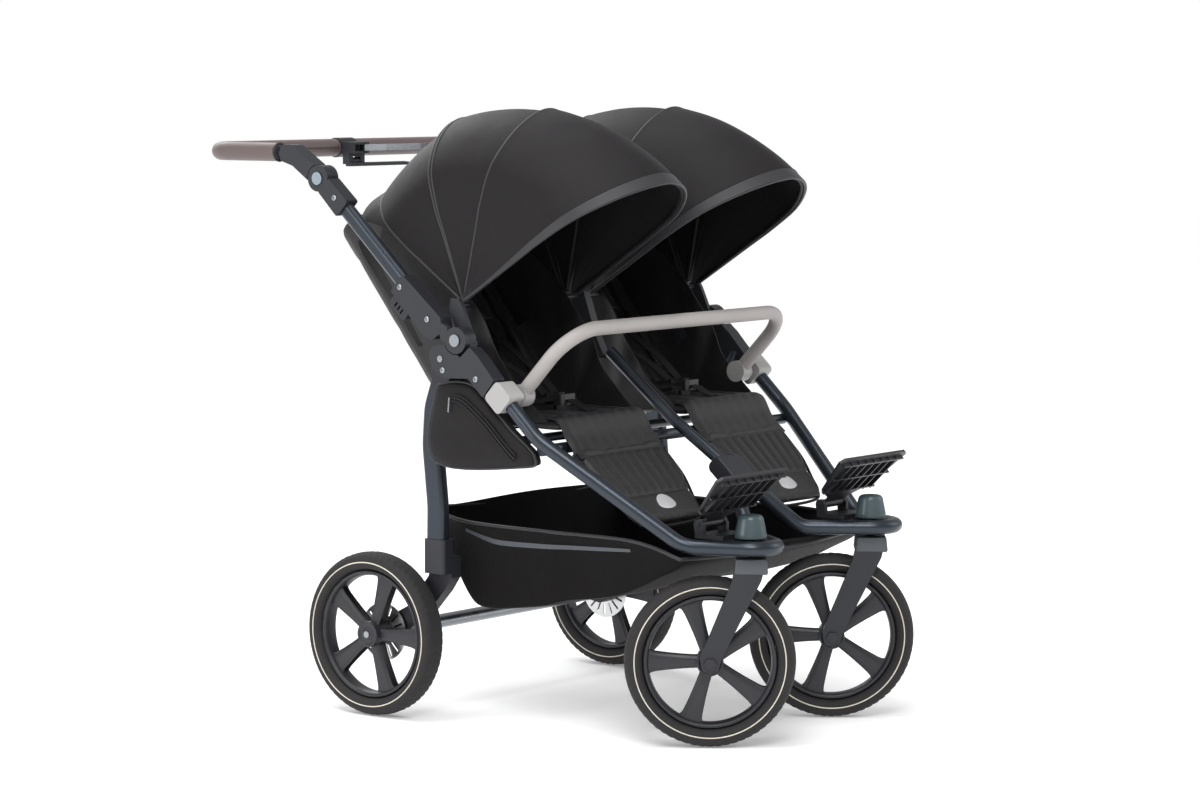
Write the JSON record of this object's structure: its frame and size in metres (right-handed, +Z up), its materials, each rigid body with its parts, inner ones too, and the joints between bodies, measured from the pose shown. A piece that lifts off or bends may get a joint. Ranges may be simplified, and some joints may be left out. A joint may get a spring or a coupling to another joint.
{
  "type": "stroller",
  "caption": "Side-by-side twin jogging stroller with folding frame, swivel front wheels, canopies, reclining seats, bumper bar and basket.",
  "frame": {"origin": "middle of the footprint's bounding box, on the ground", "axes": "+Z up, -Y is the direction of travel, +X is towards the stroller's left side as a rider sits in it"},
  "size_m": [0.792, 1.2041, 1.1081],
  "materials": {
    "frame_tube": "satin dark blue-grey powder coat",
    "casting": "satin moulded",
    "fork": "satin",
    "rim": "satin moulded",
    "tyre": "matt",
    "brake_disc": "brushed",
    "steel": "satin",
    "button": "satin",
    "knob": "satin slate",
    "bumper_cover": "soft touch",
    "bumper_plastic": "satin",
    "grip": "stitched leatherette",
    "canopy_fabric": "woven",
    "seat_fabric": "woven quilted",
    "footrest_plastic": "satin",
    "buckle_plastic": "gloss"
  },
  "bodies": {
    "front_frame": {"front_tube_right": "frame_tube", "front_tube_left": "frame_tube", "centre_and_cross_tubes": "frame_tube", "centre_castings": "casting", "swivel_housings": "casting", "seat_rods": "frame_tube", "lower_hinge_plates": "casting", "hinge_pins": "steel", "bumper_clamps": "bumper_plastic", "canopy_clips": "casting", "canopy_rear_panels": "canopy_fabric", "footrest_brackets": "casting", "seat_cushions": "seat_fabric", "harness_buckles": "buckle_plastic", "storage_basket": "canopy_fabric", "side_bag": "canopy_fabric"},
    "push_frame": {"push_tubes": "frame_tube", "upper_hinge_plates": "casting", "handle_joint_bases": "casting"},
    "handle": {"handle_bar": "frame_tube", "handle_grips": "grip", "handle_arms": "casting", "brake_bracket": "casting"},
    "brake_lever": {"brake_lever": "steel"},
    "parking_lever": {"parking_lever": "casting"},
    "rear_frame": {"rear_legs": "frame_tube", "leg_castings": "casting", "rear_axle": "steel"},
    "bumper_bar": {"bumper_bar": "bumper_cover", "bumper_caps": "bumper_plastic"},
    "rear_wheel_right": {"rear_right_tyre": "tyre", "rear_right_rim": "rim", "rear_right_brake_disc": "brake_disc"},
    "caster_right": {"caster_fork_right": "fork"},
    "front_wheel_right": {"front_right_tyre": "tyre", "front_right_rim": "rim"},
    "swivel_lock_knob_right": {"swivel_lock_knob_right": "knob"},
    "fold_lever_right": {"fold_lever_right": "casting"},
    "handle_button_right": {"handle_button_right": "button"},
    "buckle_button_right": {"buckle_button_right": "buckle_plastic"},
    "canopy_middle_right": {"canopy_middle_right": "canopy_fabric"},
    "canopy_front_right": {"canopy_front_right": "canopy_fabric"},
    "backrest_right": {"backrest_right": "seat_fabric"},
    "leg_rest_right": {"leg_rest_right": "seat_fabric"},
    "footrest_right": {"footrest_right": "footrest_plastic"},
    "rear_wheel_left": {"rear_left_tyre": "tyre", "rear_left_rim": "rim", "rear_left_brake_disc": "brake_disc"},
    "caster_left": {"caster_fork_left": "fork"},
    "front_wheel_left": {"front_left_tyre": "tyre", "front_left_rim": "rim"},
    "swivel_lock_knob_left": {"swivel_lock_knob_left": "knob"},
    "fold_lever_left": {"fold_lever_left": "casting"},
    "handle_button_left": {"handle_button_left": "button"},
    "buckle_button_left": {"buckle_button_left": "buckle_plastic"},
    "canopy_middle_left": {"canopy_middle_left": "canopy_fabric"},
    "canopy_front_left": {"canopy_front_left": "canopy_fabric"},
    "backrest_left": {"backrest_left": "seat_fabric"},
    "leg_rest_left": {"leg_rest_left": "seat_fabric"},
    "footrest_left": {"footrest_left": "footrest_plastic"}
  },
  "joints": [
    {"name": "push_frame_fold", "type": "hinge", "parent": "front_frame", "child": "push_frame", "pos_m": [0, -0.03194, 0.698], "axis": [1, 0, 0], "range_deg": [0, 130]},
    {"name": "rear_frame_fold", "type": "hinge", "parent": "front_frame", "child": "rear_frame", "pos_m": [0, 0.00206, 0.664], "axis": [-1, 0, 0], "range_deg": [0, 36]},
    {"name": "handle_height", "type": "hinge", "parent": "push_frame", "child": "handle", "pos_m": [0, 0.29306, 0.978], "axis": [1, 0, 0], "range_deg": [-35, 25]},
    {"name": "brake_lever_pull", "type": "hinge", "parent": "handle", "child": "brake_lever", "pos_m": [0.012, 0.53506, 1.024], "axis": [0, 0, 1], "range_deg": [0, 5.5], "stiffness_Nm_per_rad": 1},
    {"name": "parking_lever_turn", "type": "hinge", "parent": "handle", "child": "parking_lever", "pos_m": [0, 0.55506, 0.998], "axis": [1, 0, 0], "range_deg": [0, 20]},
    {"name": "bumper_bar_swing", "type": "hinge", "parent": "front_frame", "child": "bumper_bar", "pos_m": [0, -0.13294, 0.602], "axis": [1, 0, 0], "range_deg": [0, 48]},
    {"name": "rear_wheel_spin_right", "type": "hinge", "parent": "rear_frame", "child": "rear_wheel_right", "pos_m": [-0.3535, 0.19306, 0.15], "axis": [1, 0, 0], "continuous": true},
    {"name": "caster_swivel_right", "type": "hinge", "parent": "front_frame", "child": "caster_right", "pos_m": [-0.187, -0.52894, 0.15], "axis": [0, 0, 1], "continuous": true},
    {"name": "front_wheel_spin_right", "type": "hinge", "parent": "caster_right", "child": "front_wheel_right", "pos_m": [-0.22913, -0.47303, 0.15], "axis": [-0.7986, -0.6018, 0], "continuous": true},
    {"name": "swivel_lock_lift_right", "type": "slide", "parent": "front_frame", "child": "swivel_lock_knob_right", "axis": [0, 0, 1], "range_m": [0, 0.006], "stiffness_N_per_m": 600},
    {"name": "fold_lever_slide_right", "type": "slide", "parent": "push_frame", "child": "fold_lever_right", "axis": [0, 0.7316, 0.6817], "range_m": [0, 0.01], "stiffness_N_per_m": 400},
    {"name": "handle_button_press_right", "type": "slide", "parent": "push_frame", "child": "handle_button_right", "axis": [1, 0, 0], "range_m": [0, 0.0025], "stiffness_N_per_m": 1000},
    {"name": "buckle_button_press_right", "type": "slide", "parent": "front_frame", "child": "buckle_button_right", "axis": [0, 0, -1], "range_m": [0, 0.003], "stiffness_N_per_m": 800},
    {"name": "canopy_front_fold_right", "type": "hinge", "parent": "front_frame", "child": "canopy_front_right", "pos_m": [-0.187, -0.00594, 0.757], "axis": [-1, 0, 0], "range_deg": [0, 58]},
    {"name": "canopy_middle_fold_right", "type": "hinge", "parent": "front_frame", "child": "canopy_middle_right", "pos_m": [-0.187, -0.00594, 0.757], "axis": [-1, 0, 0], "range_deg": [0, 29]},
    {"name": "backrest_recline_right", "type": "hinge", "parent": "front_frame", "child": "backrest_right", "pos_m": [-0.187, 0.00306, 0.531], "axis": [-1, 0, 0], "range_deg": [0, 35]},
    {"name": "leg_rest_lift_right", "type": "hinge", "parent": "front_frame", "child": "leg_rest_right", "pos_m": [-0.187, -0.20794, 0.512], "axis": [-1, 0, 0], "range_deg": [0, 38]},
    {"name": "footrest_tilt_right", "type": "hinge", "parent": "front_frame", "child": "footrest_right", "pos_m": [-0.187, -0.44294, 0.386], "axis": [-1, 0, 0], "range_deg": [0, 35]},
    {"name": "rear_wheel_spin_left", "type": "hinge", "parent": "rear_frame", "child": "rear_wheel_left", "pos_m": [0.3535, 0.19306, 0.15], "axis": [1, 0, 0], "continuous": true},
    {"name": "caster_swivel_left", "type": "hinge", "parent": "front_frame", "child": "caster_left", "pos_m": [0.187, -0.52894, 0.15], "axis": [0, 0, 1], "continuous": true},
    {"name": "front_wheel_spin_left", "type": "hinge", "parent": "caster_left", "child": "front_wheel_left", "pos_m": [0.14487, -0.47303, 0.15], "axis": [-0.7986, -0.6018, 0], "continuous": true},
    {"name": "swivel_lock_lift_left", "type": "slide", "parent": "front_frame", "child": "swivel_lock_knob_left", "axis": [0, 0, 1], "range_m": [0, 0.006], "stiffness_N_per_m": 600},
    {"name": "fold_lever_slide_left", "type": "slide", "parent": "push_frame", "child": "fold_lever_left", "axis": [0, 0.7316, 0.6817], "range_m": [0, 0.01], "stiffness_N_per_m": 400},
    {"name": "handle_button_press_left", "type": "slide", "parent": "push_frame", "child": "handle_button_left", "axis": [-1, 0, 0], "range_m": [0, 0.0025], "stiffness_N_per_m": 1000},
    {"name": "buckle_button_press_left", "type": "slide", "parent": "front_frame", "child": "buckle_button_left", "axis": [0, 0, -1], "range_m": [0, 0.003], "stiffness_N_per_m": 800},
    {"name": "canopy_front_fold_left", "type": "hinge", "parent": "front_frame", "child": "canopy_front_left", "pos_m": [0.187, -0.00594, 0.757], "axis": [-1, 0, 0], "range_deg": [0, 58]},
    {"name": "canopy_middle_fold_left", "type": "hinge", "parent": "front_frame", "child": "canopy_middle_left", "pos_m": [0.187, -0.00594, 0.757], "axis": [-1, 0, 0], "range_deg": [0, 29]},
    {"name": "backrest_recline_left", "type": "hinge", "parent": "front_frame", "child": "backrest_left", "pos_m": [0.187, 0.00306, 0.531], "axis": [-1, 0, 0], "range_deg": [0, 35]},
    {"name": "leg_rest_lift_left", "type": "hinge", "parent": "front_frame", "child": "leg_rest_left", "pos_m": [0.187, -0.20794, 0.512], "axis": [-1, 0, 0], "range_deg": [0, 38]},
    {"name": "footrest_tilt_left", "type": "hinge", "parent": "front_frame", "child": "footrest_left", "pos_m": [0.187, -0.44294, 0.386], "axis": [-1, 0, 0], "range_deg": [0, 35]}
  ],
  "couplings": [
    {"joint": "rear_frame_fold", "follows": "push_frame_fold", "ratio": 0.2768},
    {"joint": "canopy_middle_fold_right", "follows": "canopy_front_fold_right", "ratio": 0.5},
    {"joint": "canopy_middle_fold_left", "follows": "canopy_front_fold_left", "ratio": 0.5}
  ]
}
